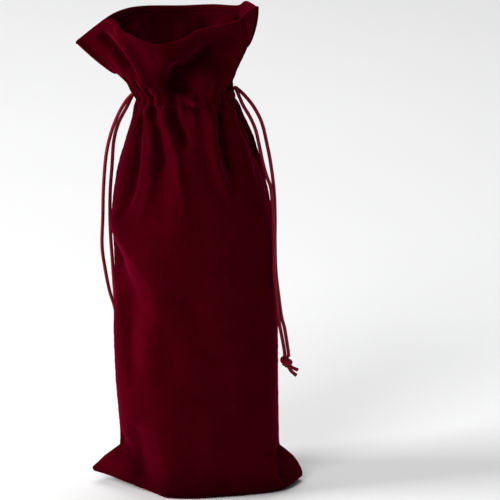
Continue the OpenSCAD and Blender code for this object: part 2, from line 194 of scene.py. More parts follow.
BACK_FOLDS = [
    (2.6, 3.2, 0.4, [(-27, 264), (-30, 240), (-34, 212), (-36, 180)]),
    (-3.0, 3.2, 0.0, [(-21, 264), (-22, 244), (-25, 220)]),
    (3.0, 3.2, 0.5, [(-15, 264), (-13.5, 244), (-14, 220), (-17, 186)]),
    (-3.0, 3.0, 0.0, [(-6, 264), (-4, 246), (-3, 222)]),
    (2.6, 3.4, -0.4, [(2, 264), (6, 244), (9, 214), (8, 182)]),
    (-3.2, 3.2, 0.0, [(10, 264), (15, 242), (19, 218)]),
    (2.8, 3.2, 0.5, [(17, 264), (23, 244), (29, 216), (31, 184)]),
    (-2.6, 3.0, 0.0, [(23, 264), (30, 244), (37, 220)]),
    (2.2, 5.0, 0.4, [(46, 158), (34, 146), (26, 132), (28, 112)]),
    (-1.8, 6.0, 0.0, [(38, 138), (36, 120), (38, 100)]),
    (1.4, 8.0, 0.0, [(-26, 140), (-30, 100), (-28, 64)]),
    (-1.4, 8.0, 0.0, [(-8, 150), (-6, 110), (-9, 70)]),
    (1.6, 4.0, 0.4, [(40, 46), (28, 38), (16, 35)]),
    (-1.8, 4.0, 0.0, [(-40, 36), (-30, 26), (-18, 20)]),
    (2.2, 3.0, 0.5, [(42, 27), (37, 15), (30, 7)]),
    (-2.2, 3.0, 0.0, [(47, 25), (43, 14), (38, 7)]),
]
BACK_COLLAR_FOLDS = [
    (3.4, 3.8, 0.5, [(-50, 318), (-42, 304), (-33, 291), (-25, 279), (-21, 268)]),
    (-3.2, 3.8, 0.0, [(-40, 312), (-33, 299), (-25, 287)]),
    (2.6, 4.2, 0.0, [(-26, 318), (-20, 300), (-14, 284), (-12, 268)]),
    (-3.4, 4.6, 0.0, [(-8, 312), (-6, 298), (-4, 284), (-4, 270)]),
    (2.8, 4.0, 0.0, [(10, 316), (8, 298), (5, 282), (4, 268)]),
    (-3.0, 3.6, 0.0, [(22, 314), (18, 298), (13, 284), (11, 272)]),
    (2.6, 3.0, 0.4, [(34, 320), (28, 302), (20, 284)]),
]
# Gathers round the neck: (centre as a share of the way across, half width as a share, height)
FRONT_GATHERS = [
    (0.055, 0.016, 1.4), (0.105, 0.020, 2.2), (0.165, 0.019, 1.8), (0.220, 0.021, 2.4), (0.290, 0.018, 1.6),
    (0.345, 0.018, 2.0), (0.430, 0.026, 1.0), (0.520, 0.030, 1.2), (0.610, 0.026, 1.0), (0.680, 0.020, 2.0),
    (0.740, 0.019, 1.8), (0.800, 0.022, 2.4), (0.855, 0.017, 1.8), (0.905, 0.019, 2.0), (0.955, 0.016, 1.2)]
BACK_GATHERS = [
    (0.060, 0.018, 1.5), (0.120, 0.021, 2.4), (0.185, 0.020, 2.0), (0.250, 0.023, 2.6), (0.320, 0.020, 2.2),
    (0.385, 0.021, 2.6), (0.450, 0.020, 2.0), (0.520, 0.023, 2.6), (0.590, 0.020, 2.2), (0.655, 0.021, 2.6),
    (0.725, 0.020, 2.0), (0.790, 0.021, 2.4), (0.860, 0.020, 2.0), (0.930, 0.018, 1.4)]
CREASES = {FRONT: (FRONT_FOLDS + FRONT_COLLAR_FOLDS, FRONT_GATHERS),
           BACK: (BACK_FOLDS + BACK_COLLAR_FOLDS, BACK_GATHERS)}


# ---------------------------------------------------------------- camera

DISTANCE, ELEVATION, LENS = 3.0, math.radians(17), 326
LOOK_X, LOOK_Z = 0.0385, 0.1618


def add_camera():
    """A long lens in front of the bag and a little above it, so that the bag stands left of the middle."""
    data = bpy.data.cameras.new("camera")
    data.lens = LENS
    data.sensor_width = 36
    data.clip_end = 20
    camera = bpy.data.objects.new("camera", data)
    camera.location = (LOOK_X, -DISTANCE * math.cos(ELEVATION), LOOK_Z + DISTANCE * math.sin(ELEVATION))
    camera.rotation_euler = (math.pi / 2 - ELEVATION, 0, 0)
    bpy.context.collection.objects.link(camera)
    bpy.context.scene.camera = camera


# ---------------------------------------------------------------- curves and meshes

def spline(points, count):
    """A smooth curve through points, with count points on it."""
    p = np.array(points, float)
    last = len(p) - 1
    u = np.linspace(0, last, count)
    i = np.minimum(u.astype(int), last - 1)
    t = (u - i)[:, None]
    a, b, c, d = p[np.maximum(i - 1, 0)], p[i], p[i + 1], p[np.minimum(i + 2, last)]
    return (2 * b + (c - a) * t + (2 * a - 5 * b + 4 * c - d) * t ** 2 + (3 * b - a - 3 * c + d) * t ** 3) / 2


def even(points, count):
    """The same line with its points an equal distance apart."""
    p = np.array(points, float)
    s = np.concatenate([[0], np.cumsum(np.linalg.norm(np.diff(p, axis=0), axis=1))])
    at = np.linspace(0, s[-1], count)
    return np.stack([np.interp(at, s, p[:, k]) for k in range(3)], axis=1)


def smooth_step(t):
    """0 up to 0 and 1 from 1 on, with a smooth rise between them."""
    s = np.clip(t, 0, 1)
    return s * s * (3 - 2 * s)


def make_object(name, points, faces, uv=None):
    """A mesh object from points in millimetres; uv is one pair for each corner of each face."""
    mesh = bpy.data.meshes.new(name)
    mesh.from_pydata((np.asarray(points) * MM).tolist(), [], faces)
    if uv is not None:
        layer = mesh.uv_layers.new(name="UVMap")
        layer.data.foreach_set("uv", np.asarray(uv, np.float32).ravel())
    mesh.polygons.foreach_set("use_smooth", [True] * len(mesh.polygons))
    mesh.update()
    obj = bpy.data.objects.new(name, mesh)
    bpy.context.collection.objects.link(obj)
    return obj


def grid_quads(rows, cols, flip):
    """The faces of a grid of points, wound the other way if flip is true."""
    r, c = np.meshgrid(np.arange(rows - 1), np.arange(cols - 1), indexing="ij")
    a = (r * cols + c).ravel()
    quads = np.stack([a, a + 1, a + cols + 1, a + cols], axis=1)
    return quads[:, ::-1] if flip else quads


def tube(name, points, diameter, sides=12, taper=None):
    """A closed round tube along points, with rounded ends. The UV runs round and along it, in millimetres."""
    p = np.array(points, float)
    n = len(p)
    ahead = np.gradient(p, axis=0)
    ahead /= np.linalg.norm(ahead, axis=1)[:, None]
    frames = np.zeros((n, 3))
    guide = np.array([0, 1, 0]) if abs(ahead[0][1]) < 0.8 else np.array([1, 0, 0])
    u = np.cross(guide, ahead[0])
    for k in range(n):
        u = u - ahead[k] * np.dot(u, ahead[k])
        u /= np.linalg.norm(u)
        frames[k] = u
    side = np.cross(ahead, frames)
    radius = np.full(n, diameter / 2) if taper is None else diameter / 2 * np.asarray(taper)
    along = np.concatenate([[0], np.cumsum(np.linalg.norm(np.diff(p, axis=0), axis=1))])
    angle = 2 * np.pi * np.arange(sides) / sides
    out = frames[:, None, :] * np.cos(angle)[None, :, None] + side[:, None, :] * np.sin(angle)[None, :, None]
    rings = p[:, None, :] + radius[:, None, None] * out
    verts = rings.reshape(-1, 3)
    faces, uv = [], []
    for k in range(n - 1):
        for s in range(sides):
            t = (s + 1) % sides
            faces.append([k * sides + s, k * sides + t, (k + 1) * sides + t, (k + 1) * sides + s])
            uv += [(s / sides, along[k]), ((s + 1) / sides, along[k]),
                   ((s + 1) / sides, along[k + 1]), (s / sides, along[k + 1])]
    for end, order in ((0, -1), (n - 1, 1)):
        verts = np.vstack([verts, p[end] + order * ahead[end] * radius[end] * TIP_BULGE])
        tip = len(verts) - 1
        for s in range(sides):
            pair = [end * sides + s, end * sides + (s + 1) % sides][::order]
            faces.append(pair + [tip])
            uv += [(s / sides, along[end])] * 3
    return make_object(name, verts, faces, uv)


# ---------------------------------------------------------------- the cloth's shape

def body_at(z):
    """Reach to the left and to the right, half depth and roundness at heights z, smoothed from the table."""
    table = np.array(BODY, float)
    fine = np.arange(SKIRT_TOP - 30, CHANNEL_HIGH + 30, 0.5)
    kernel = np.exp(-0.5 * (np.arange(-24, 25) / 9.0) ** 2)
    kernel /= kernel.sum()
    out = []
    for k in range(1, 5):
        raw = np.interp(fine, table[:, 0], table[:, k])
        out.append(np.interp(z, fine, np.convolve(np.pad(raw, 24, mode="edge"), kernel, mode="valid")))
    return out


def ring(side, z, share, open_degrees=0.0):
    """Points of cross-sections at heights z (rows), with share from 0 at the left seam to 1 at the right."""
    left, right, depth, power = [np.asarray(v)[:, None] for v in body_at(z)]
    opening = np.asarray(open_degrees)[:, None] if np.ndim(open_degrees) else open_degrees
    angle = np.radians(opening + (180 - 2 * opening) * share[None, :])
    c, s = np.cos(angle), np.maximum(np.sin(angle), 0)
    x = -np.sign(c) * np.where(c > 0, left, right) * np.abs(c) ** (2 / power)
    y = side * depth * s ** (2 / power)
    return np.stack([x, y, np.broadcast_to(np.asarray(z, float)[:, None], x.shape)], axis=2)


def lift(x):
    """How high the base's edge stands off the floor."""
    return np.where(x < 0, LEFT_LIFT * smooth_step((-x - 16) / 46), RIGHT_LIFT * smooth_step((x - 50) / 24))


def foot(side, share, inset):
    """The edge of the base, or a line that far inside it."""
    outline = spline(FEET[side], 401)
    xy = np.stack([np.interp(share, np.linspace(0, 1, 401), outline[:, k]) for k in range(2)], axis=1)
    raised = lift(xy[:, 0])
    keep = 1 - inset / np.linalg.norm(xy, axis=1)
    return np.column_stack([xy * keep[:, None], raised])


def rim(side, share):
    """The rim of the mouth."""
    outline = spline(RIMS[side], 401)
    return np.stack([np.interp(share, np.linspace(0, 1, 401), outline[:, k]) for k in range(3)], axis=1)


def slit_at(z):
    """How many degrees the panel stands back from the side seam at each height, for the cords to come out."""
    t = np.clip((z - CHANNEL_LOW - 0.5) / (CHANNEL_HIGH - CHANNEL_LOW - 1), 0, 1)
    return SLIT_DEGREES * np.sin(np.pi * t) ** 0.6


def floor_rows(edge):
    """The base, from the bottom seam out to where it rounds up."""
    rows = np.repeat(edge[None], 14, axis=0)
    rows[:, :, 1] *= np.linspace(0, 1, 14)[:, None]
    return rows


def edge_rows(edge, low):
    """The rounding between the base and what rises from it."""
    rows = []
    for turn in np.radians([20, 40, 60, 80]):
        row = edge + (low - edge) * math.sin(turn)
        row[:, 2] = edge[:, 2] + EDGE_ROUND * (1 - math.cos(turn))
        rows.append(row)
    return rows


def skirt_rows(low, high, share):
    """From the rounding up to the body. The cloth comes in to it later on the right than on the left."""
    rows = []
    z = low[:, 2] + EDGE_ROUND
    for part in np.linspace(0, 1, 20)[:-1]:
        row = low + (high - low) * (part ** (1.4 + 0.8 * share))[:, None]
        row[:, 2] = z + (SKIRT_TOP - z) * part
        rows.append(row)
    return rows


def collar_rows(neck, top, share):
    """From the channel up to the rim: the cloth flares out at once, except near the left corner."""
    rounded = smooth_step(2.5 * share)
    rows = []
    for part in np.linspace(0, 1, 48)[1:]:
        spread = rounded * math.sin(math.pi / 2 * part) + (1 - rounded) * part ** 0.8
        row = neck.copy()
        row[:, :2] += (top[:, :2] - neck[:, :2]) * spread[:, None]
        row[:, 2] += (top[:, 2] - neck[:, 2]) * part
        rows.append(row)
    return rows


def panel_rows(side, share):
    """Rows of points from the bottom seam up to the rim, before any fold, and the first row of each part."""
    edge = foot(side, share, EDGE_ROUND)
    low = foot(side, share, 0)
    high = ring(side, np.array([float(SKIRT_TOP)]), share)[0]
    neck = ring(side, np.array([CHANNEL_HIGH]), share)[0]
    wall_z = np.arange(SKIRT_TOP, CHANNEL_HIGH + 0.1, 1.25)
    parts = {"floor": floor_rows(edge), "edge": edge_rows(edge, low), "skirt": skirt_rows(low, high, share),
             "wall": ring(side, wall_z, share, slit_at(wall_z)),
             "collar": collar_rows(neck, rim(side, share), share)}
    starts = np.cumsum([0] + [len(rows) for rows in parts.values()])
    marks = {name: int(start) for name, start in zip(parts, starts)}
    return np.concatenate(list(parts.values())), marks


def normals_of(grid, side):
    """Outward normals of a panel's grid."""
    down = np.gradient(grid, axis=0)
    across = np.gradient(grid, axis=1)
    n = np.cross(across, down) * (1 if side == FRONT else -1)
    length = np.linalg.norm(n, axis=2)[..., None]
    return n / np.maximum(length, 1e-9)


def blur(field, passes):
    """Smooths a grid of numbers or points, and keeps its border."""
    out = field.copy()
    for _ in range(passes):
        out[1:-1, 1:-1] = (out[1:-1, 1:-1] * 2 + out[:-2, 1:-1] + out[2:, 1:-1]
                           + out[1:-1, :-2] + out[1:-1, 2:]) / 6
    return out


def from_line(grid, normals, line, reach, rows):
    """Which points of the cloth are near a line drawn on it, how far each is from it, and how strongly the line
    counts there, as it fades at its two ends. Seen from outside, a point on the left of a line that is drawn
    downwards has a distance below 0."""
    flat = grid[rows[0]:rows[1]].reshape(-1, 3)
    drawn = spline(line, 12)
    path = np.array([flat[np.argmin((flat[:, 0] - x) ** 2 + (flat[:, 2] - z) ** 2)] for x, z in drawn])
    low, high = path.min(axis=0) - reach, path.max(axis=0) + reach
    near = np.all((grid > low) & (grid < high), axis=2)
    near[:max(rows[0] - 8, 0)] = False
    q, n = grid[near], normals[near]
    best = np.full(len(q), 1e9)
    signed = np.zeros(len(q))
    along = np.zeros(len(q))
    total = len(path) - 1
    for k in range(total):
        a, b = path[k], path[k + 1]
        ab = b - a
        size = max(np.dot(ab, ab), 1e-9)
        t = np.clip((q - a) @ ab / size, 0, 1)
        gap = q - (a + t[:, None] * ab)
        d = np.linalg.norm(gap, axis=1)
        sign = np.sign(np.einsum("ij,ij->i", np.cross(ab, gap), n))
        closer = d < best
        best[closer] = d[closer]
        signed[closer] = (d * sign)[closer]
        along[closer] = (k + t[closer]) / total
    return near, signed, smooth_step(along / 0.22) * smooth_step((1 - along) / 0.35)


def fold_field(grid, normals, folds, rows):
    """How far outward each point moves for a list of folds whose lines lie on the given rows."""
    field = np.zeros(grid.shape[:2])
    for height, width, lean, line in folds:
        near, signed, ends = from_line(grid, normals, line, 4 * width, rows)
        left = width * (1 - 0.55 * max(lean, 0))
        right = width * (1 - 0.55 * max(-lean, 0))
        field[near] += height * ends * np.exp(-(signed / np.where(signed < 0, left, right)) ** 2)
    return field


def facet_field(grid, normals, facets, rows):
    """The same for flat facets, each with its crest on its right and a soft hollow at its left."""
    field = np.zeros(grid.shape[:2])
    steps = np.linspace(-0.8, 2.4, 321)
    fall = np.interp(steps, [-0.8, 0.8, 1.0, 1.15, 1.3, 1.45, 1.6], [-0.86, 0.86, 0.98, 0.94, 0.66, 0.3, 0])
    spread = np.exp(-(np.arange(-36, 37) / 14.0) ** 2)
    fall = np.convolve(fall, spread / spread.sum(), "same")
    for crest, depth, width, line in facets:
        near, signed, ends = from_line(grid, normals, line, 2 * width, rows)
        t = -signed / width
        level = crest * smooth_step(1 - t / 1.6)
        beyond = crest * np.exp(-t ** 2)
        field[near] += ends * np.where(t < 0, beyond, level - depth * np.interp(t, steps, fall))
    return field


def gather_field(grid, share, gathers):
    """The small gathers at the neck: deepest at the channel, each fading at its own distance from it."""
    z = grid[..., 2]
    field = np.zeros(z.shape)
    for k, (centre, width, height) in enumerate(gathers):
        down = 34 + 16 * math.sin(2.1 * k + 0.7)
        up = 17 + 9 * math.sin(1.7 * k + 0.3)
        strength = np.where(z < CHANNEL_LOW, smooth_step((z - CHANNEL_LOW + down) / down) ** 1.7,
                            np.where(z > CHANNEL_HIGH, smooth_step((CHANNEL_HIGH + up - z) / up) ** 1.4, 1.0))
        strength = strength * (1 + 0.28 * np.sin(0.42 * z + 1.9 * k))
        wander = 0.006 * np.sin(0.16 * z + 2.7 * k)
        wide = width * (1 + 0.016 * np.abs(z - 271))
        field += height * strength * np.exp(-((share[None, :] - centre - wander) / wide) ** 2)
    near = (z > CHANNEL_LOW - 8) & (z < CHANNEL_HIGH + 8)
    pinch = np.exp(-((z - CHANNEL_LOW - 0.5) / 1.8) ** 2) + np.exp(-((z - CHANNEL_HIGH) / 2.2) ** 2)
    puff = np.exp(-((z - 271.5) / 5.5) ** 2)
    uneven = 0.75 + 0.25 * np.sin(21 * share[None, :] + 0.1 * z)
    return field + (0.8 * puff - 0.5 * pinch) * near * uneven


def soft_waves(grid):
    """Low, wide unevenness of cloth that hangs, from a few long waves."""
    x, y, z = grid[..., 0], grid[..., 1], grid[..., 2]
    angle = np.arctan2(y, x)
    rise = smooth_step((z - 30) / 40) * smooth_step((262 - z) / 30)
    wave = (0.50 * np.sin(3.1 * angle + 0.031 * z + 0.4) + 0.35 * np.sin(5.3 * angle - 0.047 * z + 2.1)
            + 0.22 * np.sin(8.7 * angle + 0.083 * z + 1.2))
    return wave * rise


def edge_pinch(grid):
    """The cloth dips to the side seams, where it turns in."""
    step = np.linalg.norm(np.diff(grid, axis=1), axis=2)
    s = np.concatenate([np.zeros((grid.shape[0], 1)), np.cumsum(step, axis=1)], axis=1)
    from_edge = np.minimum(s, s[:, -1:] - s)
    z = grid[..., 2]
    ripple = 1 + 0.35 * np.sin(0.9 * z) * np.sin(0.37 * z + 1)
    return -0.9 * np.exp(-(from_edge / 1.5) ** 2) + 0.35 * ripple * np.exp(-((from_edge - 3.2) / 1.6) ** 2)


def shape_panel(side):
    """The outer surface of a panel with its folds, from the bottom seam to the rim."""
    share = np.linspace(0, 1, COLUMNS + 1)
    grid, marks = panel_rows(side, share)
    grid[marks["collar"]:, :, 2] -= RIM_RADIUS * np.linspace(0, 1, len(grid) - marks["collar"])[:, None]
    grid[marks["edge"] - 2:] = blur(grid[marks["edge"] - 2:], 3)
    normals = normals_of(grid, side)
    folds, gathers = CREASES[side]
    last = grid.shape[0]
    field = fold_field(grid, normals, folds, (marks["skirt"], last))
    if side == FRONT:
        field += facet_field(grid, normals, FRONT_FACETS, (marks["skirt"], last))
    field = blur(field, 2)
    field += gather_field(grid, share, gathers)
    field += soft_waves(grid)
    field[:marks["edge"]] = 0
    edge = np.minimum(np.arange(COLUMNS + 1), COLUMNS - np.arange(COLUMNS + 1))
    field *= smooth_step(edge / 9.0)[None, :]
    field += edge_pinch(grid) * smooth_step((np.arange(last) - marks["edge"]) / 14)[:, None]
    moved = grid + normals * field[..., None]
    moved[..., 2] = np.maximum(moved[..., 2], 0)
    return moved, marks


def mend_seams(front, back):
    """Both panels end on the same line at the bottom seam and at each side, except at the slits."""
    for c in (0, -1):
        middle = (front[:, c] + back[:, c]) / 2
        z = front[:, c, 2]
        closed = (z < CHANNEL_LOW + 0.6) | (z > CHANNEL_HIGH - 0.6)
        front[closed, c] = middle[closed]
        back[closed, c] = middle[closed]
    front[0, :, 1] = 0
    back[0, :, 1] = 0


def rolled_rim(grid, side):
    """The cloth's turn over the rim, half a circle."""
    normals = normals_of(grid, side)
    top, n = grid[-1], normals[-1]
    up = grid[-1] - grid[-3]
    up /= np.linalg.norm(up, axis=1)[:, None]
    rows = []
    centre = top - n * RIM_RADIUS
    for turn in np.linspace(0, math.pi, 9)[1:]:
        rows.append(centre + RIM_RADIUS * (n * math.cos(turn) + up * math.sin(turn)))
    return np.array(rows)


def inner_rows(grid, side, marks, first_row):
    """The inner face of the turned-in cloth, row by row from the rim down to the channel's lower stitches."""
    normals = normals_of(grid, side)
    calm = blur(grid, CALM_PASSES)
    calm_normals = normals_of(calm, side)
    rows = []
    for r in range(grid.shape[0] - 2, first_row - 1, -1):
        inside = grid[r] - normals[r] * 2 * RIM_RADIUS
        height = grid[r, :, 2].mean()
        if r < marks["collar"]:
            way_up = np.clip((height - CHANNEL_LOW) / (CHANNEL_HIGH - CHANNEL_LOW), 0, 1)
            open_here = np.sin(np.pi * way_up) ** 0.4
            apart = calm[r] - calm_normals[r] * CHANNEL_DEPTH
            inside = inside * (1 - open_here) + apart * open_here
        rows.append(inside)
    return np.array(rows)


def join_facings(one, other):
    """The turned-in cloth meets itself at the sides, behind the slits too, where nothing shows through."""
    for c in (0, -1):
        middle = (one[:, c] + other[:, c]) / 2
        one[:, c] = middle
        other[:, c] = middle


def cloth_object(name, rows, side):
    """A single layer of cloth from rows of points, with thickness added inwards and a UV in millimetres."""
    count, cols = rows.shape[:2]
    faces = grid_quads(count, cols, side == BACK)
    step = np.linalg.norm(np.diff(rows, axis=0), axis=2).mean(axis=1)
    v = np.concatenate([[0], np.cumsum(step)])
    u = np.linspace(0, FLAT_PANEL[0] / MM, cols)
    uv = np.stack(np.meshgrid(u, v), axis=2).reshape(-1, 2)[faces.ravel()]
    obj = make_object(name, rows.reshape(-1, 3), faces.tolist(), uv)
    solid = obj.modifiers.new("thickness", "SOLIDIFY")
    solid.thickness = CLOTH * MM
    solid.offset = -1
    return obj


# ---------------------------------------------------------------- materials

def new_material(name):
    """A node material, with its nodes, its links and its shader."""
    material = bpy.data.materials.new(name)
    material.use_nodes = True
    nodes = material.node_tree.nodes
    return material, nodes, material.node_tree.links, nodes["Principled BSDF"]


def noise(nodes, links, coordinates, scale, detail=3.0, rough=0.55):
    """Noise whose scale is in cells a metre, for object coordinates."""
    node = nodes.new("ShaderNodeTexNoise")
    node.inputs["Scale"].default_value = scale
    node.inputs["Detail"].default_value = detail
    node.inputs["Roughness"].default_value = rough
    links.new(coordinates, node.inputs["Vector"])
    return node.outputs["Fac"]


def ramp(nodes, links, source, stops):
    """A colour ramp: stops are (position, colour)."""
    node = nodes.new("ShaderNodeValToRGB")
    links.new(source, node.inputs["Fac"])
    elements = node.color_ramp.elements
    while len(elements) < len(stops):
        elements.new(0.5)
    for element, (position, colour) in zip(elements, stops):
        element.position = position
        element.color = (*colour, 1)
    return node.outputs["Color"]


def bump(nodes, links, height, distance, strength, below=None):
    """A bump from a height, over the bump below it if there is one."""
    node = nodes.new("ShaderNodeBump")
    node.inputs["Distance"].default_value = distance
    node.inputs["Strength"].default_value = strength
    links.new(height, node.inputs["Height"])
    if below is not None:
        links.new(below, node.inputs["Normal"])
    return node.outputs["Normal"]


def multiply(nodes, links, one, other):
    """One colour times another."""
    mix = nodes.new("ShaderNodeMix")
    mix.data_type = "RGBA"
    mix.blend_type = "MULTIPLY"
    mix.inputs["Factor"].default_value = 1
    first, second = [socket for socket in mix.inputs if socket.type == "RGBA"]
    links.new(one, first)
    links.new(other, second)
    return [socket for socket in mix.outputs if socket.type == "RGBA"][0]


def shade_and_highlight_patch(nodes, links, place, centre, half, factor):
    """A soft-edged patch of painted shade (factor below 1) or painted highlight (factor above 1) round a point
    in millimetres: white outside it, and the factor inside.
    """
    mapping = nodes.new("ShaderNodeMapping")
    mapping.vector_type = "TEXTURE"
    mapping.inputs["Location"].default_value = [c * MM for c in centre]
    mapping.inputs["Scale"].default_value = [h * MM for h in half]
    ball = nodes.new("ShaderNodeTexGradient")
    ball.gradient_type = "SPHERICAL"
    links.new(place, mapping.inputs["Vector"])
    links.new(mapping.outputs["Vector"], ball.inputs["Vector"])
    return ramp(nodes, links, ball.outputs["Fac"], [(0.0, (1, 1, 1)), (0.7, (factor, factor, factor))])


def velvet(name, dark, light, patches=()):
    """Pile cloth: a deep colour that varies with the nap, with painted shade in hollows from ambient occlusion
    and painted shade and highlight in the given patches, and a pink sheen.
    """
    material, nodes, links, shader = new_material(name)
    place = nodes.new("ShaderNodeTexCoord").outputs["Object"]
    nap = noise(nodes, links, place, 38, 4, 0.6)
    # painted shade: ambient occlusion darkens the colour in hollows and creases, where shade falls
    painted_hollow_shade = nodes.new("ShaderNodeAmbientOcclusion")
    painted_hollow_shade.samples = 8
    painted_hollow_shade.inputs["Distance"].default_value = PAINTED_SHADE_REACH
    painted_shade = ramp(nodes, links, painted_hollow_shade.outputs["AO"], [(0.25, (0.12, 0.12, 0.12)), (0.95, (1, 1, 1))])
    colour = multiply(nodes, links, ramp(nodes, links, nap, [(0.32, dark), (0.68, light)]), painted_shade)
    # painted shade and painted highlight: the colour is multiplied by each patch
    for centre, half, factor in patches:
        colour = multiply(nodes, links, colour, shade_and_highlight_patch(nodes, links, place, centre, half, factor))
    links.new(colour, shader.inputs["Base Color"])
    pile = noise(nodes, links, place, 2600, 2, 0.6)
    brushed = noise(nodes, links, place, 320, 3, 0.6)
    low = bump(nodes, links, brushed, 0.0006, 0.35)
    links.new(bump(nodes, links, pile, 0.0003, 0.45, low), shader.inputs["Normal"])
    shader.inputs["Roughness"].default_value = 1.0
    shader.inputs["Specular IOR Level"].default_value = 0.0
    shader.inputs["Sheen Weight"].default_value = SHEEN
    shader.inputs["Sheen Roughness"].default_value = SHEEN_ROUGHNESS
    shader.inputs["Sheen Tint"].default_value = SHEEN_TINT
    return material


def satin(name, dark, light):
    """Smooth twisted satin cord, with a fine slanting weave."""
    material, nodes, links, shader = new_material(name)
    uv = nodes.new("ShaderNodeUVMap").outputs["UV"]
    mapping = nodes.new("ShaderNodeMapping")
    mapping.inputs["Scale"].default_value = (2, 1.1, 1)
    mapping.inputs["Rotation"].default_value = (0, 0, math.radians(32))
    links.new(uv, mapping.inputs["Vector"])
    weave = nodes.new("ShaderNodeTexWave")
    weave.inputs["Scale"].default_value = 1.3
    weave.inputs["Distortion"].default_value = 0.6
    links.new(mapping.outputs["Vector"], weave.inputs["Vector"])
    colour = ramp(nodes, links, weave.outputs["Fac"], [(0.15, dark), (0.8, light)])
    links.new(colour, shader.inputs["Base Color"])
    links.new(bump(nodes, links, weave.outputs["Fac"], 0.0002, 0.5), shader.inputs["Normal"])
    shader.inputs["Roughness"].default_value = 0.30
    shader.inputs["Specular IOR Level"].default_value = 0.18
    shader.inputs["Specular Tint"].default_value = (1, 0.45, 0.55, 1)
    return material


def thread_material():
    """Sewing thread, matt and a little darker than the velvet."""
    material, nodes, links, shader = new_material("thread")
    place = nodes.new("ShaderNodeTexCoord").outputs["Object"]
    fibre = noise(nodes, links, place, 1500, 2)
    links.new(ramp(nodes, links, fibre, [(0.3, THREAD[0]), (0.7, THREAD[1])]), shader.inputs["Base Color"])
    links.new(bump(nodes, links, fibre, 0.0002, 0.5), shader.inputs["Normal"])
    shader.inputs["Roughness"].default_value = 0.8
    shader.inputs["Specular IOR Level"].default_value = 0.1
    return material


# ---------------------------------------------------------------- pieces

def dress(obj, material, body="bag", nodes=()):
    """Gives a piece its material and slot, hides the CAD nodes it stands for, and puts it on its body."""
    obj.data.materials.clear()
    obj.data.materials.append(material)
    if nodes:
        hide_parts(*nodes)
    if body:
        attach(obj, body)
    return obj


def wrap(start, reach, top, swing, flip):
    """One cord's turns in the knot, downwards; both its ends run in to the middle."""
    t = np.linspace(0, 1, 60)
    angle = 2 * math.pi * KNOT_TURNS * t + start
    radius = reach * np.minimum(1, 0.35 + 3 * np.minimum(t, 1 - t))
    height = top - KNOT_DROP * t + swing * np.sin(angle)
    return np.column_stack([radius * np.cos(angle) * flip, radius * np.sin(angle), height])


def knot_paths(at, flip):
    """Two cords tied in one overhand knot: a tilted loop of each round the others, drawn tight."""
    lean = np.array([[1, 0, 0], [0, 1, 0], [-0.35 * flip, 0, 1]])
    wraps = [wrap(0.4, 2.8, 2.2, 0.9, flip), wrap(2.8, 2.5, 1.0, -0.8, flip)]
    return [np.array(at, float) + turns @ lean for turns in wraps]


def join(name, objects):
    """Several mesh objects as one."""
    with bpy.context.temp_override(active_object=objects[0], selected_objects=objects,
                                   selected_editable_objects=objects):
        bpy.ops.object.join()
    objects[0].name = name
    objects[0].data.name = name
    return objects[0]


def add_cords(material):
    """On each side: the knot, its two cut ends, and the two free strands down to it from the slit."""
    for side, knot_at in (("left", LEFT_KNOT), ("right", RIGHT_KNOT)):
        pull = f"{side}_pull"
        wraps = knot_paths(knot_at, 1 if side == "right" else -1)
        parts = [tube(f"{side}_wrap_{k}", path, CORD_D, 14) for k, path in enumerate(wraps)]
        core = np.array(knot_at, float) + np.array([(0, 0, z) for z in np.linspace(3.4, -3.6, 12)])
        swell = np.interp(np.linspace(0, 1, 12), [0, 0.2, 0.8, 1], [0.8, 1.1, 1.1, 0.7])
        parts.append(tube(f"{side}_core", core, KNOT_CORE, 14, taper=swell))
        knot = join(f"{side}_cord_knot_tied", parts)
        dress(knot, material, pull, [f"{side}_cord_knot"])
        for which in ("front", "back"):
            low, high = [np.array(v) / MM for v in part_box(f"{side}_cord_{which}_tail")]
            add_tail(side, which, low, high, np.array(knot_at, float), material, pull)
        for which in ("front", "back"):
            name = f"{side}_cord_{which}_strand"
            line = even(spline(ROUTES[name], 240), 200)
            strand = tube(f"{name}_cord", line, CORD_D, 16)
            dress(strand, material, None, [name])
            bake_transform(strand)


def add_tail(side, which, low, high, knot_at, material, pull):
    """A short cut end below the knot, a little curled, inside the CAD tail's own box."""
    middle = (low + high) / 2
    away = np.sign(middle[:2] - knot_at[:2])
    top = np.array([knot_at[0] + 0.7 * away[0], knot_at[1] + 0.7 * away[1], high[2] + 0.2])
    tip = np.array([high[0] - 0.9 if away[0] > 0 else low[0] + 0.9,
                    high[1] - 0.9 if away[1] > 0 else low[1] + 0.9, low[2] + 0.6])
    bend = (top + tip) / 2 + np.array([-0.5 * away[0], -0.3 * away[1], -0.6])
    line = spline([top, (top + bend) / 2, bend, tip], 24)
    taper = np.interp(np.linspace(0, 1, 24), [0, 0.85, 1], [1, 1, 1.12])
    tail = tube(f"{side}_cord_{which}_tail_end", line, CORD_D, 12, taper=taper)
    return dress(tail, material, pull, [f"{side}_cord_{which}_tail"])


def add_stitches(name, z_level, front, back, material):
    """A row of separate stitches round the neck, each sunk a little at its ends."""
    parts = []
    for side, grid in ((FRONT, front), (BACK, back)):
        row = int(np.argmin(np.abs(grid[:, COLUMNS // 2, 2] - z_level)))
        normal = normals_of(grid, side)[row]
        line = grid[row] - normal * 0.05
        s = np.concatenate([[0], np.cumsum(np.linalg.norm(np.diff(line, axis=0), axis=1))])
        for k in range(1, int(s[-1] / STITCH_PITCH) - 1):
            at = np.linspace(k * STITCH_PITCH, (k + 1) * STITCH_PITCH - STITCH_GAP, 7)
            sink = 0.35 * np.abs(np.linspace(-1, 1, 7)) ** 3
            q = np.stack([np.interp(at, s, line[:, j]) for j in range(3)], axis=1)
            n = np.stack([np.interp(at, s, normal[:, j]) for j in range(3)], axis=1)
            parts.append(tube("stitch", q - n * sink[:, None], STITCH, 6))
    return dress(join(name, parts), material, "bag", [name.replace("_thread", "")])


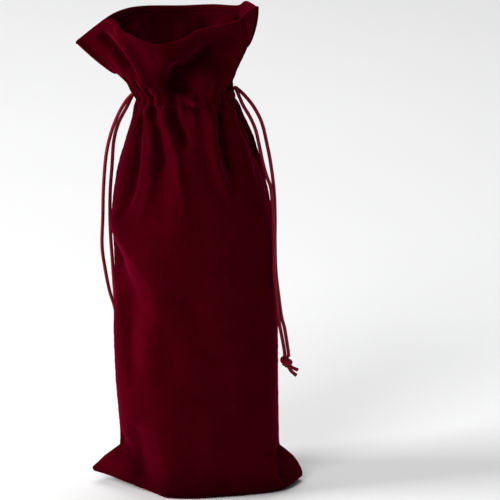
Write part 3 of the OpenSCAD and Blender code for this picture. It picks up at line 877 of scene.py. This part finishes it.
def seam_strip(name, layers, material, node):
    """A turned-in seam allowance, closed round its edges between an outer and an inner layer of points."""
    outer, inner = layers
    rows, cols = outer.shape[:2]
    points = np.concatenate([outer.reshape(-1, 3), inner.reshape(-1, 3)])
    count = rows * cols
    a = grid_quads(rows, cols, False)
    b = grid_quads(rows, cols, True) + count
    loop = (list(range(cols - 1)) + [r * cols + cols - 1 for r in range(rows - 1)]
            + [(rows - 1) * cols + c for c in range(cols - 1, 0, -1)]
            + [r * cols for r in range(rows - 1, 0, -1)])
    sides = [[loop[(k + 1) % len(loop)], loop[k], loop[k] + count, loop[(k + 1) % len(loop)] + count]
             for k in range(len(loop))]
    obj = make_object(name, points, a.tolist() + b.tolist() + sides)
    edge = obj.modifiers.new("edge", "BEVEL")
    edge.width = 0.25 * MM
    edge.segments = 2
    edge.limit_method = "ANGLE"
    return dress(obj, material, "bag", [node])


def add_loops(front, back, marks, material):
    """Each drawstring's way through the channel: in at its slit, round the neck and out beside itself."""
    z = front[:, COLUMNS // 2, 2]
    for side, inward in (("left", 1), ("right", -1)):
        slit = np.array(ROUTES[f"{side}_cord_front_strand"][0], float)
        row = int(np.argmin(np.abs(z[:marks["collar"]] - slit[2])))
        halves = []
        for which, grid in ((FRONT, front), (BACK, back)):
            calm = blur(grid, CALM_PASSES)
            line = calm[row] - normals_of(calm, which)[row] * CORD_DEPTH
            line[:, 2] = slit[2]
            halves.append(line if side == "left" else line[::-1])
        skip = COLUMNS // 11
        way_in = slit + np.array([(0, 0, 0), (2, 0, 0), (3.2, -1, 0)]) * (inward, 1, 1)
        way_out = way_in[::-1] * (1, -1, 1)
        path = np.concatenate([way_in, halves[0][skip:-4:6], halves[1][::-1][4:-skip:6], way_out])
        loop = tube(f"{side}_cord_loop_cord", even(spline(path, 500), 160), CORD_D, 10)
        dress(loop, material, "bag", [f"{side}_cord_loop"])


def add_seams(back, marks, material):
    """The turned-in seam allowances: two strips folded against the back panel, and one across the base."""
    normals = normals_of(back, BACK)
    step = np.linalg.norm(np.diff(back[marks["wall"]], axis=0), axis=1)
    s = np.concatenate([[0], np.cumsum(step)])
    cols = int(np.searchsorted(s, ALLOWANCE)) + 1
    z = back[:, COLUMNS // 2, 2]
    rows = [r for r in range(marks["wall"], marks["collar"]) if z[r] < SEAM_TOP]
    strips = []
    for name, pick in (("left_side_seam", slice(1, cols)), ("right_side_seam", slice(-cols, -1))):
        part, n = back[rows][:, pick], normals[rows][:, pick]
        waves = 0.25 * np.sin(0.4 * part[..., 2:3])
        layers = (part - n * (1.3 + 0.2 * waves), part - n * (3.1 + waves))
        strips.append(seam_strip(f"{name}_allowance", layers, material, name))
    floor = back[:4, 8:-8].copy()
    floor[..., 1] = np.linspace(0, ALLOWANCE, 4)[:, None]
    up = np.array([0, 0, 1.0])
    ripple = 0.3 * np.sin(0.35 * floor[..., 0:1])
    layers = (floor + up * (3.2 + ripple), floor + up * 1.3)
    strips.append(seam_strip("bottom_seam_allowance", layers, material, "bottom_seam"))
    return strips


def add_cloth(outside, inside, thread, satin_cord):
    """Both panels with their facings, and what is sewn to them or runs between them."""
    front, marks = shape_panel(FRONT)
    back, _ = shape_panel(BACK)
    mend_seams(front, back)
    add_loops(front, back, marks, satin_cord)
    seams = add_seams(back, marks, inside)
    stitches = [add_stitches("upper_channel_stitches_thread", CHANNEL_HIGH, front, back, thread),
                add_stitches("lower_channel_stitches_thread", CHANNEL_LOW, front, back, thread)]
    z = front[:, COLUMNS // 2, 2]
    first = int(np.argmin(np.abs(z - CHANNEL_LOW)))
    facings = {side: inner_rows(grid, side, marks, first) for side, grid in ((FRONT, front), (BACK, back))}
    join_facings(facings[FRONT], facings[BACK])
    for side, grid, name in ((FRONT, front, "front"), (BACK, back, "back")):
        inner = facings[side]
        outer = np.concatenate([grid, rolled_rim(grid, side), inner[:TURNED_ROWS]])
        panel = cloth_object(f"{name}_panel_cloth", outer, side)
        dress(panel, outside, "bag", [f"{name}_panel"])
        facing = cloth_object(f"{name}_facing_cloth", inner[TURNED_ROWS - 1:], side)
        dress(facing, inside, "bag", [f"{name}_facing"])


# ---------------------------------------------------------------- studio

FLOOR_HALF = 9000.0
# Square soft lights, in metres and watts: (name, place, side, power)
LIGHTS = [
    ("key", (-2.7, -0.4, 1.1), 1.0, 95),
    ("fill", (-1.3, -2.3, 2.3), 1.2, 42),
    ("top", (0.0, 1.2, 2.4), 2.0, 34)]
LIT_PLACE = (0.0, 0.0, 0.15)
DAYLIGHT, DAYLIGHT_STRENGTH = (0.95, 0.96, 1.0, 1), 0.14


def add_floor():
    """A plain pale floor out to the horizon."""
    half = FLOOR_HALF
    corners = [(-half, -half, 0), (half, -half, 0), (half, half, 0), (-half, half, 0)]
    floor = make_object("floor", np.array(corners), [[0, 1, 2, 3]])
    material, nodes, links, shader = new_material("floor")
    place = nodes.new("ShaderNodeTexCoord").outputs["Object"]
    grain = noise(nodes, links, place, 3, 2)
    shades = ramp(nodes, links, grain, [(0.3, (0.93, 0.93, 0.93)), (0.7, (0.95, 0.95, 0.95))])
    links.new(shades, shader.inputs["Base Color"])
    shader.inputs["Roughness"].default_value = 0.6
    floor.data.materials.append(material)


def add_light(name, location, size, power):
    """A square soft light that faces the bag."""
    data = bpy.data.lights.new(name, "AREA")
    data.shape = "RECTANGLE"
    data.size = size
    data.size_y = size
    data.energy = power
    light = bpy.data.objects.new(name, data)
    light.location = location
    aim = np.array(LIT_PLACE) - np.array(location)
    from_up = math.atan2(math.hypot(aim[0], aim[1]), -aim[2])
    light.rotation_euler = (from_up, 0, math.atan2(aim[1], aim[0]) - math.pi / 2)
    bpy.context.collection.objects.link(light)


def add_studio():
    """The floor, the lights and a faint even light from all round."""
    add_floor()
    for light in LIGHTS:
        add_light(*light)
    world = bpy.data.worlds.new("studio")
    world.use_nodes = True
    background = world.node_tree.nodes["Background"]
    background.inputs["Color"].default_value = DAYLIGHT
    background.inputs["Strength"].default_value = DAYLIGHT_STRENGTH
    bpy.context.scene.world = world
    bpy.context.scene.view_settings.view_transform = "Standard"


add_camera()
cord_material = satin("satin_cord", *SATIN)
add_cords(cord_material)
velvet_outside = velvet("velvet", *VELVET, PAINTED_SHADE_AND_HIGHLIGHT_PATCHES)
velvet_inside = velvet("velvet_inside", *VELVET)
add_cloth(velvet_outside, velvet_inside, thread_material(), cord_material)
add_studio()
